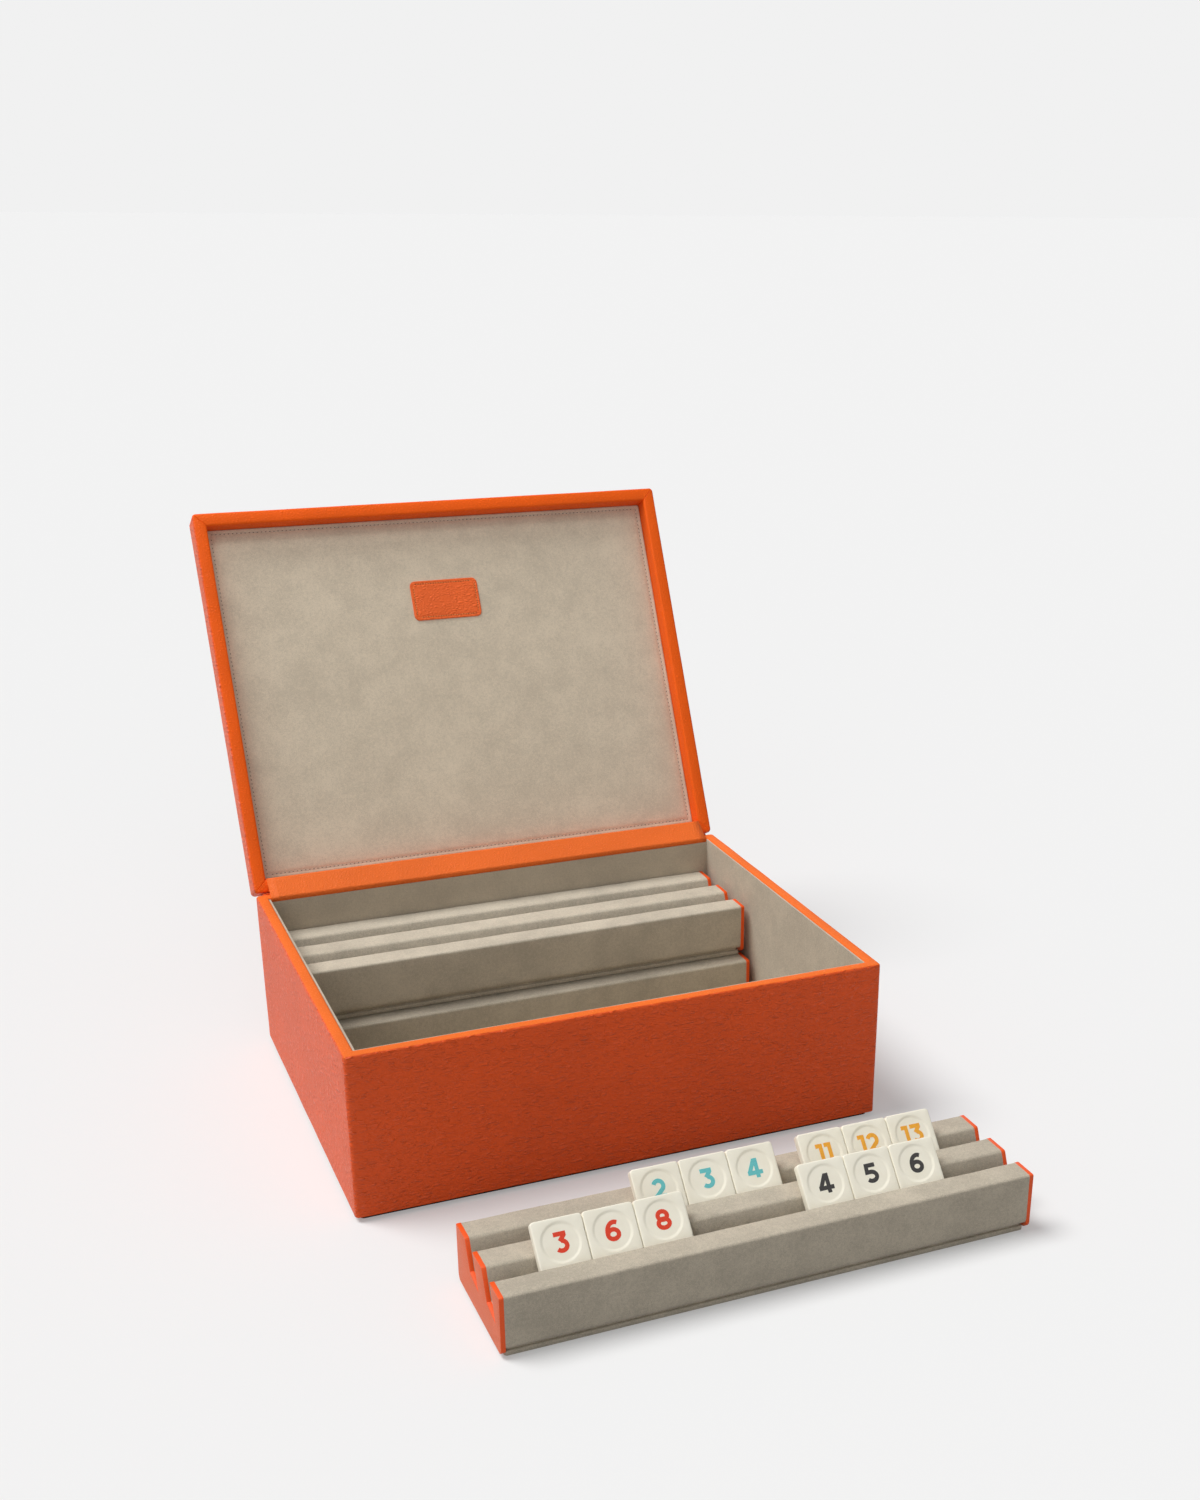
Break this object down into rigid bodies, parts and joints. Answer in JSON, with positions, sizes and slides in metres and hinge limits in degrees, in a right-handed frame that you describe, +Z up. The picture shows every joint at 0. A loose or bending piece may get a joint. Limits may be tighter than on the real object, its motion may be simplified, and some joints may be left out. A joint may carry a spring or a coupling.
{
  "type": "rummy tile case",
  "caption": "Leather-covered game case with a hinged lid, slotted racks stored inside it, and a rack of numbered tiles in front.",
  "frame": {"origin": "on the floor, below the centre of the case", "axes": "+Z up, +Y from the front of the case to its hinge, +X to the right"},
  "size_m": [0.3353, 0.5278, 0.3243],
  "materials": {
    "leather": "grained, satin",
    "suede": "napped suede, matt",
    "board": "raw board",
    "base_cloth": "dark book cloth, matt",
    "tile": "satin",
    "red_paint": "satin",
    "black_paint": "satin",
    "blue_paint": "satin",
    "orange_paint": "satin",
    "thread": "waxed thread"
  },
  "bodies": {
    "case": {"base_panel": "base_cloth", "bottom_board": "board", "floor_lining": "suede", "front_wall_board": "board", "right_wall_board": "board", "back_wall_board": "board", "left_wall_board": "board", "front_liner": "suede", "right_liner": "suede", "back_liner": "suede", "left_liner": "suede", "case_leather": "leather", "spine_case_leaf": "leather", "hinge_strip": "leather"},
    "lid": {"lid_board": "board", "lid_front_rail": "board", "lid_right_rail": "board", "lid_back_rail": "board", "lid_left_rail": "board", "lid_leather": "leather", "lid_lining": "suede", "lid_patch": "leather", "spine_lid_leaf": "leather"},
    "lower_rack": {"lower_rack_bed": "suede", "lower_rack_back_rail": "suede", "lower_rack_middle_rail": "suede", "lower_rack_front_rail": "suede", "lower_rack_right_end": "leather", "lower_rack_left_end": "leather", "lower_rack_foot": "base_cloth"},
    "upper_rack": {"upper_rack_bed": "suede", "upper_rack_back_rail": "suede", "upper_rack_middle_rail": "suede", "upper_rack_front_rail": "suede", "upper_rack_right_end": "leather", "upper_rack_left_end": "leather", "upper_rack_foot": "base_cloth"},
    "free_rack": {"free_rack_bed": "suede", "free_rack_back_rail": "suede", "free_rack_middle_rail": "suede", "free_rack_front_rail": "suede", "free_rack_right_end": "leather", "free_rack_left_end": "leather", "free_rack_foot": "base_cloth"},
    "tile_red_3": {"tile_red_3": "tile"},
    "tile_red_6": {"tile_red_6": "tile"},
    "tile_red_8": {"tile_red_8": "tile"},
    "tile_black_4": {"tile_black_4": "tile"},
    "tile_black_5": {"tile_black_5": "tile"},
    "tile_black_6": {"tile_black_6": "tile"},
    "tile_blue_2": {"tile_blue_2": "tile"},
    "tile_blue_3": {"tile_blue_3": "tile"},
    "tile_blue_4": {"tile_blue_4": "tile"},
    "tile_orange_11": {"tile_orange_11": "tile"},
    "tile_orange_12": {"tile_orange_12": "tile"},
    "tile_orange_13": {"tile_orange_13": "tile"}
  },
  "joints": [
    {"name": "lid_hinge", "type": "hinge", "parent": "case", "child": "lid", "pos_m": [0, 0.1255, 0.101], "axis": [-1, 0, 0], "range_deg": [-116.4, 0], "deforming": ["hinge_strip"]},
    {"name": "lower_rack_lift", "type": "slide", "parent": "case", "child": "lower_rack", "axis": [0, 0, 1], "range_m": [0, 0.1]},
    {"name": "upper_rack_lift", "type": "slide", "parent": "lower_rack", "child": "upper_rack", "axis": [0, 0, 1], "range_m": [0, 0.065]},
    {"name": "free_rack_lift", "type": "slide", "parent": "case", "child": "free_rack", "axis": [0, 0, 1], "range_m": [0, 0.1]},
    {"name": "tile_red_3_lift", "type": "slide", "parent": "free_rack", "child": "tile_red_3", "axis": [0, 0.6717, 0.7408], "range_m": [0, 0.025]},
    {"name": "tile_red_6_lift", "type": "slide", "parent": "free_rack", "child": "tile_red_6", "axis": [0, 0.6717, 0.7408], "range_m": [0, 0.025]},
    {"name": "tile_red_8_lift", "type": "slide", "parent": "free_rack", "child": "tile_red_8", "axis": [0, 0.6717, 0.7408], "range_m": [0, 0.025]},
    {"name": "tile_black_4_lift", "type": "slide", "parent": "free_rack", "child": "tile_black_4", "axis": [0, 0.6717, 0.7408], "range_m": [0, 0.025]},
    {"name": "tile_black_5_lift", "type": "slide", "parent": "free_rack", "child": "tile_black_5", "axis": [0, 0.6717, 0.7408], "range_m": [0, 0.025]},
    {"name": "tile_black_6_lift", "type": "slide", "parent": "free_rack", "child": "tile_black_6", "axis": [0, 0.6717, 0.7408], "range_m": [0, 0.025]},
    {"name": "tile_blue_2_lift", "type": "slide", "parent": "free_rack", "child": "tile_blue_2", "axis": [0, 0.6717, 0.7408], "range_m": [0, 0.025]},
    {"name": "tile_blue_3_lift", "type": "slide", "parent": "free_rack", "child": "tile_blue_3", "axis": [0, 0.6717, 0.7408], "range_m": [0, 0.025]},
    {"name": "tile_blue_4_lift", "type": "slide", "parent": "free_rack", "child": "tile_blue_4", "axis": [0, 0.6717, 0.7408], "range_m": [0, 0.025]},
    {"name": "tile_orange_11_lift", "type": "slide", "parent": "free_rack", "child": "tile_orange_11", "axis": [0, 0.6717, 0.7408], "range_m": [0, 0.025]},
    {"name": "tile_orange_12_lift", "type": "slide", "parent": "free_rack", "child": "tile_orange_12", "axis": [0, 0.6717, 0.7408], "range_m": [0, 0.025]},
    {"name": "tile_orange_13_lift", "type": "slide", "parent": "free_rack", "child": "tile_orange_13", "axis": [0, 0.6717, 0.7408], "range_m": [0, 0.025]}
  ]
}
